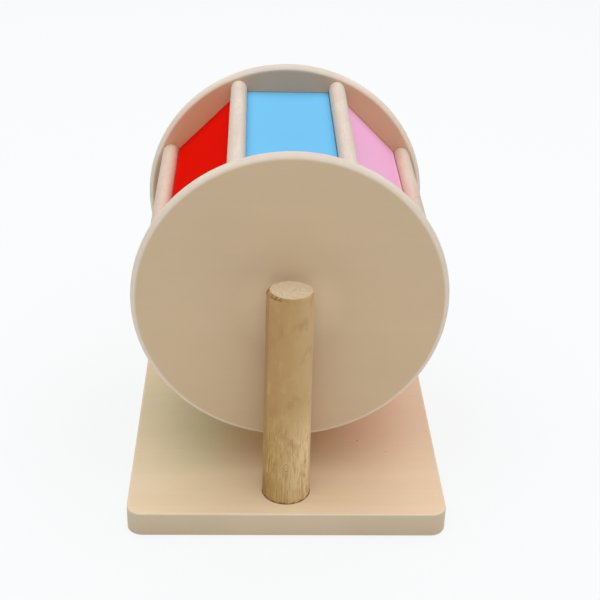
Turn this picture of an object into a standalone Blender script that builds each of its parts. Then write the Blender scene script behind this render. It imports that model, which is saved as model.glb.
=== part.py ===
"""Rainbow spinner: a wooden drum with eight coloured panels, turning on an axle between two posts.

The origin is the centre of the board's underside. X runs across the board, Y runs along the axle
from the front post to the rear post, and Z is up. Sizes are in metres, and angles round the drum
are counted from +X towards +Z.
"""

import math

import bmesh
import bpy
from mathutils import Matrix, Vector

# Drum
PANEL_COUNT = 8
DRUM_RADIUS = 0.087
DRUM_LENGTH = 0.150
DISC_THICKNESS = 0.007
DISC_EDGE_RADIUS = 0.003
DOWEL_DIAMETER = 0.010
DOWEL_INSET = 0.0044
DOWEL_SEAT = 0.004
DOWEL_CHAMFER = 0.0005
PANEL_THICKNESS = 0.003
PANEL_SETBACK = 0.0022
PANEL_SEAT = 0.0025
PANEL_EDGE_RADIUS = 0.0004

# Axle and spacers
AXLE_DIAMETER = 0.006
AXLE_SEAT = 0.012
AXLE_CHAMFER = 0.0006
SPACER_DIAMETER = 0.016
SPACER_CHAMFER = 0.0005
POST_GAP = 0.0045

# Board and posts
BOARD_THICKNESS = 0.015
BOARD_SIDE_MARGIN = 0.003
BOARD_END_MARGIN = 0.0093
BOARD_CORNER_RADIUS = 0.0065
BOARD_EDGE_RADIUS = 0.0015
DRUM_TO_BOARD = 0.025
POST_FOOT_DIAMETER = 0.027
POST_TOP_DIAMETER = 0.0252
POST_ABOVE_AXLE = 0.018
POST_EDGE_RADIUS = 0.0006
SOCKET_DEPTH = 0.006

# Screws that hold the posts from below
SCREW_DIAMETER = 0.004
SCREW_IN_POST = 0.020
SCREW_TIP_LENGTH = 0.005
SCREW_HEAD_DIAMETER = 0.008
SCREW_HEAD_HEIGHT = 0.0026
SCREW_HEAD_EDGE = 0.0006
SCREW_SUNK = 0.001
CROSS_SLOT_LENGTH = 0.0042
CROSS_SLOT_WIDTH = 0.0011
CROSS_SLOT_DEPTH = 0.0014

# Fits
CLEARANCE = 0.0003
OVERCUT = 0.003

# Facets round a full circle, and in a quarter of a rounded edge
DISC_SEGMENTS = 96
POST_SEGMENTS = 48
ROD_SEGMENTS = 24
EDGE_SEGMENTS = 4
FINE_EDGE_SEGMENTS = 2
SHARP_ANGLE = math.radians(30)

# Panels in their order round the drum, and the colour of each as 0 to 255 sRGB
PANEL_COLOURS = {
    "panel_purple": (128, 78, 160),
    "panel_pink": (236, 174, 207),
    "panel_light_blue": (118, 194, 240),
    "panel_red": (224, 20, 13),
    "panel_dark_blue": (38, 74, 150),
    "panel_green": (96, 190, 70),
    "panel_yellow": (250, 206, 50),
    "panel_orange": (250, 110, 44),
}
PALE_WOOD = (214, 190, 160)
DOWEL_WOOD = (231, 211, 194)
POST_WOOD = (168, 136, 92)
SPACER_WOOD = (205, 180, 146)
STEEL = (190, 190, 192)
WOOD_ROUGHNESS = 0.55
PAINT_ROUGHNESS = 0.4
STEEL_ROUGHNESS = 0.3

# Places that follow from the sizes above
AXLE_HEIGHT = BOARD_THICKNESS + DRUM_TO_BOARD + DRUM_RADIUS
POST_TOP = AXLE_HEIGHT + POST_ABOVE_AXLE
POST_FOOT = BOARD_THICKNESS - SOCKET_DEPTH + CLEARANCE
INNER_LENGTH = DRUM_LENGTH - 2 * DISC_THICKNESS
DISC_CENTRE = (DRUM_LENGTH - DISC_THICKNESS) / 2
DOWEL_CIRCLE = DRUM_RADIUS - DOWEL_INSET - DOWEL_DIAMETER / 2
HALF_STEP = math.pi / PANEL_COUNT
PANEL_FACE = DOWEL_CIRCLE * math.cos(HALF_STEP) - PANEL_SETBACK
BORE_RADIUS = AXLE_DIAMETER / 2 + CLEARANCE
POST_INNER_SIDE = DRUM_LENGTH / 2 + POST_GAP


def post_radius(height):
    """Radius of the tapered post at a height above the floor."""
    share = (height - BOARD_THICKNESS) / (POST_TOP - BOARD_THICKNESS)
    foot = POST_FOOT_DIAMETER / 2
    top = POST_TOP_DIAMETER / 2
    return foot + (top - foot) * share


POST_CENTRE = POST_INNER_SIDE + post_radius(AXLE_HEIGHT)
BOARD_WIDTH = 2 * (DRUM_RADIUS + BOARD_SIDE_MARGIN)
BOARD_LENGTH = 2 * (POST_CENTRE + POST_FOOT_DIAMETER / 2 + BOARD_END_MARGIN)


def panel_half_width():
    """Half the width that fits between two dowels, and between the neighbouring panels."""
    dowel_reach = DOWEL_DIAMETER / 2 + CLEARANCE
    beside = math.sqrt(max(dowel_reach**2 - PANEL_SETBACK**2, 0))
    to_dowels = DOWEL_CIRCLE * math.sin(HALF_STEP) - beside
    inner_face = PANEL_FACE - PANEL_THICKNESS - CLEARANCE
    to_neighbours = inner_face * math.tan(HALF_STEP) - 2 * CLEARANCE / math.cos(HALF_STEP)
    return min(to_dowels, to_neighbours)


def clear_scene():
    """Remove every object that the file holds."""
    for old in list(bpy.data.objects):
        bpy.data.objects.remove(old, do_unlink=True)


def new_collection(name):
    """A collection of this name under the scene."""
    collection = bpy.data.collections.new(name)
    bpy.context.scene.collection.children.link(collection)
    return collection


def linear(channel):
    """A 0 to 255 sRGB channel as the linear value that a shader takes."""
    value = channel / 255
    return value / 12.92 if value <= 0.04045 else ((value + 0.055) / 1.055) ** 2.4


def make_material(name, colour, roughness, metallic=0.0):
    """A Principled material of one colour."""
    material = bpy.data.materials.new(name)
    material.use_nodes = True
    shader = material.node_tree.nodes["Principled BSDF"]
    rgb = [linear(channel) for channel in colour]
    shader.inputs["Base Color"].default_value = (*rgb, 1.0)
    shader.inputs["Roughness"].default_value = roughness
    shader.inputs["Metallic"].default_value = metallic
    material.diffuse_color = (*rgb, 1.0)
    return material


def place(name, mesh, collection, parent=None, location=(0, 0, 0), rotation=(0, 0, 0)):
    """A mesh as a named object in a collection."""
    piece = bpy.data.objects.new(name, mesh)
    collection.objects.link(piece)
    piece.parent = parent
    piece.location = location
    piece.rotation_euler = rotation
    return piece


def place_cutter(name, mesh, collection, **where):
    """A mesh that only cuts: shown as wire and never rendered."""
    cutter = place(name, mesh, collection, **where)
    cutter.hide_render = True
    cutter.display_type = "WIRE"
    return cutter


def cut(piece, cutter):
    """Take the cutter's shape out of the piece."""
    modifier = piece.modifiers.new(cutter.name, "BOOLEAN")
    modifier.operation = "DIFFERENCE"
    modifier.solver = "EXACT"
    modifier.object = cutter


def arc(centre, radius, start, end, segments):
    """Points of an arc in the profile plane, both ends included, angles in degrees."""
    points = []
    for step in range(segments + 1):
        angle = math.radians(start + (end - start) * step / segments)
        points.append((centre[0] + radius * math.cos(angle), centre[1] + radius * math.sin(angle)))
    return points


def turned_mesh(name, profile, segments, closed=False):
    """Turn a profile of (radius, height) points about Z. It runs from the top down its outer side."""
    outline = bpy.data.meshes.new(name + "_profile")
    edges = [(i, i + 1) for i in range(len(profile) - 1)]
    if closed:
        edges.append((len(profile) - 1, 0))
    outline.from_pydata([(radius, 0, height) for radius, height in profile], edges, [])
    turning = bpy.data.objects.new(name + "_profile", outline)
    bpy.context.scene.collection.objects.link(turning)
    screw = turning.modifiers.new("turn", "SCREW")
    screw.axis = "Z"
    screw.steps = segments
    screw.render_steps = segments
    screw.use_merge_vertices = True
    screw.merge_threshold = 0.00001
    evaluated = turning.evaluated_get(bpy.context.evaluated_depsgraph_get())
    mesh = bpy.data.meshes.new_from_object(evaluated)
    mesh.name = name
    bpy.data.objects.remove(turning)
    bpy.data.meshes.remove(outline)
    mesh.shade_smooth()
    mesh.set_sharp_from_angle(angle=SHARP_ANGLE)
    return mesh


def rod_profile(radius, length, chamfer):
    """Profile of a solid rod, centred on its length, with both ends chamfered."""
    half = length / 2
    return [
        (0, half),
        (radius - chamfer, half),
        (radius, half - chamfer),
        (radius, -half + chamfer),
        (radius - chamfer, -half),
        (0, -half),
    ]


def ring_profile(bore, edge_points):
    """Closed profile of a ring: its outer side, then straight back up its bore."""
    top = edge_points[0][1]
    bottom = edge_points[-1][1]
    return [(bore, top), *edge_points, (bore, bottom)]


def add_box(bm, size, transform):
    """Add a box of this size to a mesh under construction."""
    scale = Matrix.Diagonal((*size, 1))
    bmesh.ops.create_cube(bm, size=1, matrix=transform @ scale)


def add_cylinder(bm, radius, length, segments, transform):
    """Add a capped cylinder along the transform's Z to a mesh under construction."""
    bmesh.ops.create_cone(
        bm,
        cap_ends=True,
        segments=segments,
        radius1=radius,
        radius2=radius,
        depth=length,
        matrix=transform,
    )


def mesh_from(bm, name):
    """Turn a mesh under construction into mesh data."""
    mesh = bpy.data.meshes.new(name)
    bm.to_mesh(mesh)
    bm.free()
    return mesh


def along_y():
    """Rotation that lays the Z axis of a turned piece along Y."""
    return Matrix.Rotation(math.pi / 2, 4, "X")


def panel_angles():
    """Angle of each panel round the drum, in the order of the colours."""
    return [index * 2 * HALF_STEP for index in range(PANEL_COUNT)]


def round_drum(angle):
    """Transform whose Z points out of the drum at this angle, with Y still along the axle."""
    return Matrix.Rotation(math.pi / 2 - angle, 4, "Y")


def panel_slot_mesh(side):
    """The slots of one disc, as one mesh of separate boxes, for the panels' ends."""
    bm = bmesh.new()
    width = 2 * (panel_half_width() + CLEARANCE)
    height = PANEL_THICKNESS + 2 * CLEARANCE
    depth = PANEL_SEAT + OVERCUT
    middle = side * (INNER_LENGTH / 2 + PANEL_SEAT - depth / 2)
    for angle in panel_angles():
        offset = Matrix.Translation((0, middle, PANEL_FACE - PANEL_THICKNESS / 2))
        add_box(bm, (width, depth, height), round_drum(angle) @ offset)
    return mesh_from(bm, "panel_slots")


def dowel_hole_mesh(side):
    """The blind holes of one disc, as one mesh of separate cylinders, for the dowels' ends."""
    bm = bmesh.new()
    depth = DOWEL_SEAT + OVERCUT
    middle = side * (INNER_LENGTH / 2 + DOWEL_SEAT - depth / 2)
    for angle in panel_angles():
        offset = Matrix.Translation((0, middle, DOWEL_CIRCLE))
        place_hole = round_drum(angle + HALF_STEP) @ offset @ along_y()
        add_cylinder(bm, DOWEL_DIAMETER / 2 + CLEARANCE, depth, ROD_SEGMENTS, place_hole)
    return mesh_from(bm, "dowel_holes")


def disc_mesh():
    """A round disc with both rims rounded over and a bore for the axle."""
    half = DISC_THICKNESS / 2
    edge = min(DISC_EDGE_RADIUS, half * 0.95)
    rim = DRUM_RADIUS - edge
    outer_side = arc((rim, half - edge), edge, 90, 0, EDGE_SEGMENTS)
    outer_side += arc((rim, edge - half), edge, 0, -90, EDGE_SEGMENTS)
    return turned_mesh("disc", ring_profile(BORE_RADIUS, outer_side), DISC_SEGMENTS, closed=True)


def make_disc(name, side, wood, parts, cutters, drum_axis):
    """One end of the drum, side -1 at the front and 1 at the rear."""
    disc = place(
        name,
        disc_mesh(),
        parts,
        parent=drum_axis,
        location=(0, side * DISC_CENTRE, 0),
        rotation=(math.pi / 2, 0, 0),
    )
    disc.data.materials.append(wood)
    slots = place_cutter(name + "_panel_slots", panel_slot_mesh(side), cutters, parent=drum_axis)
    holes = place_cutter(name + "_dowel_holes", dowel_hole_mesh(side), cutters, parent=drum_axis)
    cut(disc, slots)
    cut(disc, holes)


def make_dowels(parts, drum_axis):
    """The bars between the discs, one between each two panels."""
    length = INNER_LENGTH + 2 * (DOWEL_SEAT - CLEARANCE)
    profile = rod_profile(DOWEL_DIAMETER / 2, length, DOWEL_CHAMFER)
    for index, angle in enumerate(panel_angles()):
        name = f"dowel_{index + 1}"
        mesh = turned_mesh(name, profile, ROD_SEGMENTS)
        mesh.materials.append(make_material(name, DOWEL_WOOD, WOOD_ROUGHNESS))
        turn = round_drum(angle + HALF_STEP)
        location = turn @ Vector((0, 0, DOWEL_CIRCLE))
        place(name, mesh, parts, parent=drum_axis, location=location, rotation=(math.pi / 2, 0, 0))


def panel_mesh(name):
    """A flat painted board, lying in XY with its outer face up."""
    bm = bmesh.new()
    length = INNER_LENGTH + 2 * (PANEL_SEAT - CLEARANCE)
    size = (2 * panel_half_width(), length, PANEL_THICKNESS)
    add_box(bm, size, Matrix.Identity(4))
    return mesh_from(bm, name)


def make_panels(parts, drum_axis):
    """The coloured boards that close the drum, just inside the dowels."""
    for (name, colour), angle in zip(PANEL_COLOURS.items(), panel_angles()):
        mesh = panel_mesh(name)
        mesh.materials.append(make_material(name, colour, PAINT_ROUGHNESS))
        turn = round_drum(angle)
        location = turn @ Vector((0, 0, PANEL_FACE - PANEL_THICKNESS / 2))
        panel = place(name, mesh, parts, parent=drum_axis, location=location)
        panel.rotation_euler = turn.to_euler()
        edges = panel.modifiers.new("eased_edges", "BEVEL")
        edges.width = min(PANEL_EDGE_RADIUS, PANEL_THICKNESS * 0.4)
        edges.segments = FINE_EDGE_SEGMENTS


def make_axle(parts):
    """The steel rod that the drum turns on, held in the posts' blind holes."""
    length = 2 * (POST_INNER_SIDE + AXLE_SEAT - CLEARANCE)
    mesh = turned_mesh("axle", rod_profile(AXLE_DIAMETER / 2, length, AXLE_CHAMFER), ROD_SEGMENTS)
    mesh.materials.append(make_material("axle", STEEL, STEEL_ROUGHNESS, 1.0))
    place("axle", mesh, parts, location=(0, 0, AXLE_HEIGHT), rotation=(math.pi / 2, 0, 0))


def make_spacer(name, side, parts):
    """The ring on the axle that keeps the drum off a post."""
    half = POST_GAP / 2 - CLEARANCE
    radius = SPACER_DIAMETER / 2
    outer_side = [
        (radius - SPACER_CHAMFER, half),
        (radius, half - SPACER_CHAMFER),
        (radius, SPACER_CHAMFER - half),
        (radius - SPACER_CHAMFER, -half),
    ]
    mesh = turned_mesh(name, ring_profile(BORE_RADIUS, outer_side), ROD_SEGMENTS, closed=True)
    mesh.materials.append(make_material(name, SPACER_WOOD, WOOD_ROUGHNESS))
    middle = side * (DRUM_LENGTH + POST_GAP) / 2
    place(name, mesh, parts, location=(0, middle, AXLE_HEIGHT), rotation=(math.pi / 2, 0, 0))


def post_mesh(name):
    """A round post, tapering a little to a top with an eased edge."""
    edge = POST_EDGE_RADIUS
    radius = POST_TOP_DIAMETER / 2
    foot = POST_FOOT_DIAMETER / 2
    profile = [(0, POST_TOP)]
    profile += arc((radius - edge, POST_TOP - edge), edge, 90, 0, FINE_EDGE_SEGMENTS)
    profile += [(foot, BOARD_THICKNESS), (foot, POST_FOOT), (0, POST_FOOT)]
    return turned_mesh(name, profile, POST_SEGMENTS)


def axle_hole_mesh():
    """A short cylinder along Y, centred on the blind hole of a post."""
    bm = bmesh.new()
    add_cylinder(bm, BORE_RADIUS, AXLE_SEAT + OVERCUT, ROD_SEGMENTS, along_y())
    return mesh_from(bm, "axle_hole")


def screw_hole_mesh():
    """The hole up a post's foot, from below the foot to just above the screw's tip."""
    bm = bmesh.new()
    radius = SCREW_DIAMETER / 2 + CLEARANCE
    length = OVERCUT + SCREW_IN_POST + CLEARANCE
    middle = Matrix.Translation((0, 0, POST_FOOT - OVERCUT + length / 2))
    add_cylinder(bm, radius, length, ROD_SEGMENTS, middle)
    return mesh_from(bm, "screw_hole")


def make_post(name, side, parts, cutters):
    """One post with its blind axle hole and the hole for its screw."""
    mesh = post_mesh(name)
    mesh.materials.append(make_material(name, POST_WOOD, WOOD_ROUGHNESS))
    centre = side * POST_CENTRE
    post = place(name, mesh, parts, location=(0, centre, 0))
    hole_middle = side * (POST_INNER_SIDE + (AXLE_SEAT - OVERCUT) / 2)
    where = (0, hole_middle, AXLE_HEIGHT)
    axle_hole = place_cutter(name + "_axle_hole", axle_hole_mesh(), cutters, location=where)
    foot_hole = place_cutter(
        name + "_screw_hole", screw_hole_mesh(), cutters, location=(0, centre, 0)
    )
    cut(post, axle_hole)
    cut(post, foot_hole)


def screw_mesh(name):
    """A screw pointing up: tip, shank and a flat-bottomed head."""
    shank = SCREW_DIAMETER / 2
    head = SCREW_HEAD_DIAMETER / 2
    tip = POST_FOOT + SCREW_IN_POST
    head_top = SCREW_SUNK + SCREW_HEAD_HEIGHT
    profile = [
        (0, tip),
        (shank, tip - SCREW_TIP_LENGTH),
        (shank, head_top),
        (head, head_top),
        (head, SCREW_SUNK + SCREW_HEAD_EDGE),
        (head - SCREW_HEAD_EDGE, SCREW_SUNK),
        (0, SCREW_SUNK),
    ]
    return turned_mesh(name, profile, ROD_SEGMENTS)


def cross_slot_mesh(name, turn):
    """One bar of the cross slot in a screw's head."""
    bm = bmesh.new()
    depth = CROSS_SLOT_DEPTH + OVERCUT
    middle = Matrix.Translation((0, 0, SCREW_SUNK + CROSS_SLOT_DEPTH - depth / 2))
    size = (CROSS_SLOT_LENGTH, CROSS_SLOT_WIDTH, depth)
    add_box(bm, size, middle @ Matrix.Rotation(turn, 4, "Z"))
    return mesh_from(bm, name)


def make_screw(name, side, parts, cutters):
    """The screw that holds a post, driven up through the board."""
    mesh = screw_mesh(name)
    mesh.materials.append(make_material(name, STEEL, STEEL_ROUGHNESS, 1.0))
    where = (0, side * POST_CENTRE, 0)
    screw = place(name, mesh, parts, location=where)
    for bar, turn in (("_slot_across", 0), ("_slot_along", math.pi / 2)):
        slot = place_cutter(name + bar, cross_slot_mesh(name + bar, turn), cutters, location=where)
        cut(screw, slot)


def board_mesh(name):
    """A flat board with its four upright corners rounded."""
    bm = bmesh.new()
    middle = Matrix.Translation((0, 0, BOARD_THICKNESS / 2))
    add_box(bm, (BOARD_WIDTH, BOARD_LENGTH, BOARD_THICKNESS), middle)
    upright = [edge for edge in bm.edges if abs((edge.verts[0].co - edge.verts[1].co).z) > 0]
    bmesh.ops.bevel(
        bm,
        geom=upright,
        offset=BOARD_CORNER_RADIUS,
        offset_type="OFFSET",
        segments=2 * EDGE_SEGMENTS,
        profile=0.5,
        affect="EDGES",
    )
    return mesh_from(bm, name)


def post_seat_mesh():
    """The stepped hole in the board: post socket, screw hole and a recess for the screw's head."""
    socket = POST_FOOT_DIAMETER / 2 + CLEARANCE
    hole = SCREW_DIAMETER / 2 + CLEARANCE
    recess = SCREW_HEAD_DIAMETER / 2 + CLEARANCE
    socket_floor = BOARD_THICKNESS - SOCKET_DEPTH
    recess_roof = SCREW_SUNK + SCREW_HEAD_HEIGHT + CLEARANCE
    profile = [
        (0, BOARD_THICKNESS + OVERCUT),
        (socket, BOARD_THICKNESS + OVERCUT),
        (socket, socket_floor),
        (hole, socket_floor),
        (hole, recess_roof),
        (recess, recess_roof),
        (recess, -OVERCUT),
        (0, -OVERCUT),
    ]
    return turned_mesh("post_seat", profile, POST_SEGMENTS)


def make_board(parts, cutters):
    """The board that the whole toy stands on."""
    mesh = board_mesh("base_board")
    mesh.materials.append(make_material("base_board", PALE_WOOD, WOOD_ROUGHNESS))
    board = place("base_board", mesh, parts)
    edges = board.modifiers.new("rounded_edges", "BEVEL")
    edges.width = min(BOARD_EDGE_RADIUS, BOARD_THICKNESS * 0.4)
    edges.segments = EDGE_SEGMENTS
    edges.limit_method = "ANGLE"
    edges.angle_limit = math.radians(60)
    for name, side in (("front_post_seat", -1), ("rear_post_seat", 1)):
        where = (0, side * POST_CENTRE, 0)
        seat = place_cutter(name, post_seat_mesh(), cutters, location=where)
        cut(board, seat)


def main():
    """Build the whole toy: the stand first, then the drum on its axle."""
    clear_scene()
    parts = new_collection("rainbow_spinner")
    cutters = new_collection("cutters")
    make_board(parts, cutters)
    for end, side in (("front", -1), ("rear", 1)):
        make_post(f"{end}_post", side, parts, cutters)
        make_screw(f"{end}_post_screw", side, parts, cutters)
        make_spacer(f"{end}_spacer", side, parts)
    make_axle(parts)
    drum_axis = bpy.data.objects.new("drum_axis", None)
    drum_axis.location = (0, 0, AXLE_HEIGHT)
    parts.objects.link(drum_axis)
    for end, side in (("front", -1), ("rear", 1)):
        wood = make_material(f"{end}_disc", PALE_WOOD, WOOD_ROUGHNESS)
        make_disc(f"{end}_disc", side, wood, parts, cutters, drum_axis)
    make_dowels(parts, drum_axis)
    make_panels(parts, drum_axis)


main()
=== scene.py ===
"""Rainbow spinner: the wooden drum, its posts and its board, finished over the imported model.

X runs across the board, Y along the axle from the front post to the rear post, and Z is up.
Sizes are in metres, and angles round the drum are counted from +X towards +Z.
"""

import math

import bmesh
import bpy
from mathutils import Matrix, Vector, noise


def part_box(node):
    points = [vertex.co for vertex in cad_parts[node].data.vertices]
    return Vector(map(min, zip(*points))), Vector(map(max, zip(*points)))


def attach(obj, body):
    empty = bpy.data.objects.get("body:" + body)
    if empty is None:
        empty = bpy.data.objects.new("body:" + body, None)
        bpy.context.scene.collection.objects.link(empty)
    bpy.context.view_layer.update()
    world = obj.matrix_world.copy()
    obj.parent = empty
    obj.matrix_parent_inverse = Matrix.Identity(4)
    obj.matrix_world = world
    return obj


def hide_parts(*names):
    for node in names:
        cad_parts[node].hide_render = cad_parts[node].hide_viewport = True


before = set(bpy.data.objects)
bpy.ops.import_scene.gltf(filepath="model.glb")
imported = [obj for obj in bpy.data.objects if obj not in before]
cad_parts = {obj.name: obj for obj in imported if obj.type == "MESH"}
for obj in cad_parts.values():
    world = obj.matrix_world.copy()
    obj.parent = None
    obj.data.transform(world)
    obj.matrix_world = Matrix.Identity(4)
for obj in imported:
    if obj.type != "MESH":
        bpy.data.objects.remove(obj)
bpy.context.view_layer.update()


def half_sizes(node):
    """Half the size of a CAD node's box along X, Y and Z."""
    return [(high - low) / 2 for low, high in zip(*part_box(node))]


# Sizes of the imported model
PANEL_COUNT = 8
DRUM_RADIUS = 0.087
DRUM_LENGTH = 0.150
DISC_THICKNESS = 0.007
BAR_RADIUS = 0.005
BAR_SEAT = 0.004
BAR_CHAMFER = 0.0005
PANEL_SETBACK = 0.0022
PANEL_THICKNESS = 0.003
PANEL_SEAT = 0.0025
AXLE_HEIGHT = 0.127
AXLE_RADIUS = 0.003
AXLE_SEAT = 0.012
AXLE_CHAMFER = 0.0006
SPACER_EDGE = 0.0005
BOARD_THICKNESS = 0.015
POST_FOOT_RADIUS = 0.0135
POST_TOP_RADIUS = 0.0126
POST_TOP = 0.145
SOCKET_DEPTH = 0.006
SCREW_RADIUS = 0.002
SCREW_IN_POST = 0.020
SCREW_HEAD_RADIUS = 0.004
SCREW_HEAD_HEIGHT = 0.0026
SCREW_SUNK = 0.001
GAP = 0.0003

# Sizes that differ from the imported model's, or that only the finish has
HAIRLINE = 0.0001
BAR_CIRCLE = 0.0784
DISC_EDGE = 0.0035
PANEL_EDGE = 0.0005
SPACER_BORE_EDGE = 0.0003
BOARD_CORNER = 0.009
BOARD_EDGE = 0.001
BAR_KNOT = (0.07443, -0.008, 0.161)
POST_KNOT = (-0.001, -0.1055, 0.0398)
POST_KNOT_SIZE = (0.0021, 0.0042)
FRONT_POST_SHIFT = (0.0005, 0.0009)

# Degrees round a disc's edge, from its face, between which the rub and the rim's tint set in: the rub is a
# lighter edge, partly sanding and partly a painted highlight, and the rim's tint is painted shade and sheen
DISC_RUB = (2, 24)
DISC_RIM = (28, 68)

# The posts' tops: how high the arris is, what it loses all round, in chips and by wear, and the saw's slip
ARRIS_DEPTH = 0.002
ARRIS_LOSS = 0.0003
CHIP_DEPTH = 0.0004
WORN_DEPTH = 0.0015
SAW_DROP = 0.0003
SAW_REACH = 0.02

# How uneven the posts are at the side and on top, and where the side's unevenness fades out
SIDE_UNEVEN = 0.00006
TOP_UNEVEN = 0.00004
UNEVEN_TOP = 0.06
UNEVEN_FADE = 0.025

# How far a cutter reaches out of the piece that it cuts
CUTTER_REACH = 0.005

# How finely round pieces are divided
DISC_SEGMENTS = 256
POST_SEGMENTS = 192
POST_STEPS = 64
ROD_SEGMENTS = 48
EDGE_STEPS = 8

HALF_STEP = math.pi / PANEL_COUNT
PANEL_FACE = BAR_CIRCLE * math.cos(HALF_STEP) - PANEL_SETBACK
PANEL_HALF_WIDTH = half_sizes("panel_light_blue")[0] + GAP
INNER_HALF = DRUM_LENGTH / 2 - DISC_THICKNESS
DRUM_CENTRE = Vector((0, 0, AXLE_HEIGHT))
POST_CENTRE = -sum(corner.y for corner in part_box("front_post")) / 2

# Panels in their order round the drum, with the paint of each as 0 to 255 sRGB
PAINTS = {
    "purple": (128, 78, 160),
    "pink": (248, 184, 221),
    "light_blue": (113, 187, 230),
    "red": (232, 22, 10),
    "dark_blue": (38, 74, 150),
    "green": (96, 190, 70),
    "yellow": (250, 212, 104),
    "orange": (248, 116, 62),
}

# The other colours, as 0 to 255 sRGB
BAR_COLOURS = {
    "light": (217, 205, 190),
    "dark": (206, 190, 174),
    "blush": (216, 197, 184),
    "fibre": (200, 174, 156),
    "fleck": (186, 150, 128),
    "knot": (176, 124, 92),
}
# The post's lit and shaded colours, its highlight and shade stripes and the shade beside its foot are
# painted light and shade
POST_COLOURS = {
    "shaded left above": (189, 149, 90),
    "lit right above": (213, 179, 127),
    "shaded left below": (190, 153, 86),
    "lit right below": (252, 222, 172),
    "dark cloud": (180, 134, 78),
    "light cloud": (212, 178, 116),
    "light fibre": (232, 204, 150),
    "dark fibre": (142, 104, 46),
    "streak": (176, 124, 72),
    "shade left of foot": (146, 110, 48),
    "light knot": (226, 198, 146),
    "dark knot": (158, 120, 64),
    "highlight stripe right": (224, 190, 150),
    "shade stripe left": (146, 106, 60),
    "socket line": (124, 92, 48),
    "worn arris": (118, 82, 46),
    "dark end": (196, 180, 150),
    "light end": (213, 196, 167),
    "pink end": (222, 188, 162),
}
PIN_KNOT = (132, 84, 60)
STEEL = (196, 196, 198)
BACKGROUND = (249, 251, 252)

# The studio, and the camera with its angles in degrees. The floor's glow rises between two distances.
FLOOR_RADIUS = 8
FLOOR_LIT = (0.95, 0.95, 0.95, 1)
FLOOR_SHADOWED = (0.16, 0.16, 0.16, 1)
GLOW_REACH = (1.2, 4.5)
GLOW_LEVELS = (0.838, 1.0)
SKY_LEVEL = 0.135
LAMP_PLACE = (0, 0, 1.7)
LAMP_WIDTH = 4.0
LAMP_POWER = 62.5
LENS = 76.19
CAMERA_PLACE = (-0.02141, -0.67994, 0.45742)
CAMERA_YAW = -2.512
CAMERA_DIP = 28.444
CAMERA_ROLL = 1.752


def capped(value):
    """A number kept from 0 to 1."""
    return min(max(value, 0.0), 1.0)


def linear(colour):
    """A 0 to 255 sRGB colour as the linear RGBA that a shader takes."""
    shares = [c / 255 for c in colour]
    return (*(s / 12.92 if s <= 0.04045 else ((s + 0.055) / 1.055) ** 2.4 for s in shares), 1.0)


# Laying out node trees

ORIGIN = (0.0, 0.0, 0.0)


class Wiring:
    """Adds nodes to one tree and joins them up."""

    def __init__(self, tree):
        self.tree = tree

    def feed(self, socket, value):
        """Join a socket to another one, or set its value."""
        if isinstance(value, bpy.types.NodeSocket):
            self.tree.links.new(value, socket)
        else:
            socket.default_value = value

    def node(self, kind, values=None, **settings):
        """A node with its settings, and its inputs fed by name or number."""
        made = self.tree.nodes.new(kind)
        for name, setting in settings.items():
            setattr(made, name, setting)
        for key, value in (values or {}).items():
            self.feed(made.inputs[key], value)
        return made

    def out(self, kind, values=None, **settings):
        """The first output of a new node."""
        return self.node(kind, values, **settings).outputs[0]

    def sum(self, operation, first, second=0.0, clamp=False):
        """A Math node's result."""
        return self.out("ShaderNodeMath", {0: first, 1: second}, operation=operation, use_clamp=clamp)

    def plus(self, first, second, clamp=False):
        """Two values added."""
        return self.sum("ADD", first, second, clamp)

    def minus(self, first, second):
        """The second value taken from the first."""
        return self.sum("SUBTRACT", first, second)

    def times(self, first, second):
        """Two values multiplied."""
        return self.sum("MULTIPLY", first, second)

    def weighed(self, first, second, share):
        """Two values added, the first with a share and the second with the rest."""
        return self.plus(self.times(first, share), self.times(second, 1 - share))

    def swing(self, value, amount, middle=0.5):
        """How far a value is from its middle, times an amount."""
        return self.times(self.minus(value, middle), amount)

    def vector(self, operation, first, second=ORIGIN, output="Vector"):
        """A Vector Math node's result."""
        values = {0: first, 1: second}
        return self.node("ShaderNodeVectorMath", values, operation=operation).outputs[output]

    def length(self, vector):
        """A vector's length."""
        return self.vector("LENGTH", vector, output="Value")

    def apart(self, first, second):
        """How far apart two places are."""
        return self.vector("DISTANCE", first, second, "Value")

    def axes(self, place):
        """A place's X, Y and Z."""
        return self.node("ShaderNodeSeparateXYZ", {0: place}).outputs

    def point(self, x=0.0, y=0.0, z=0.0):
        """A place, size or turn from its X, Y and Z."""
        return self.out("ShaderNodeCombineXYZ", {0: x, 1: y, 2: z})

    def spread(self, value, low, high, to_low=0.0, to_high=1.0):
        """The value moved smoothly from one range to another."""
        values = {0: value, 1: low, 2: high, 3: to_low, 4: to_high}
        return self.out("ShaderNodeMapRange", values, interpolation_type="SMOOTHSTEP")

    def blend(self, share, first, second, how="MIX"):
        """Two colours mixed."""
        values = {0: share, 6: first, 7: second}
        return self.node("ShaderNodeMix", values, data_type="RGBA", blend_type=how).outputs[2]

    def between(self, share, first, second):
        """Two 0 to 255 colours mixed."""
        return self.blend(share, linear(first), linear(second))

    def stain(self, ground, share, colour, amount=None):
        """A 0 to 255 colour laid over another by a share, and by an amount if one is given."""
        share = share if amount is None else self.times(share, amount)
        return self.blend(share, ground, linear(colour))

    def tint(self, ground, share, tone):
        """A colour multiplied by a tone, by a share."""
        return self.blend(share, ground, (*tone, 1.0), "MULTIPLY")

    def cloud(self, position, size, detail=2.0, roughness=0.5, distortion=0.0):
        """Noise whose patches are about this size."""
        scale = 1 / size if isinstance(size, float) else self.sum("DIVIDE", 1.0, size)
        values = {"Vector": position, "Detail": detail, "Roughness": roughness, "Distortion": distortion}
        return self.out("ShaderNodeTexNoise", {**values, "Scale": scale})


def socket_kind(value):
    """The kind of socket that takes a value."""
    if isinstance(value, tuple):
        return "Color" if len(value) == 4 else "Vector"
    return {int: "Int", float: "Float"}.get(type(value), "Material")


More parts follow.
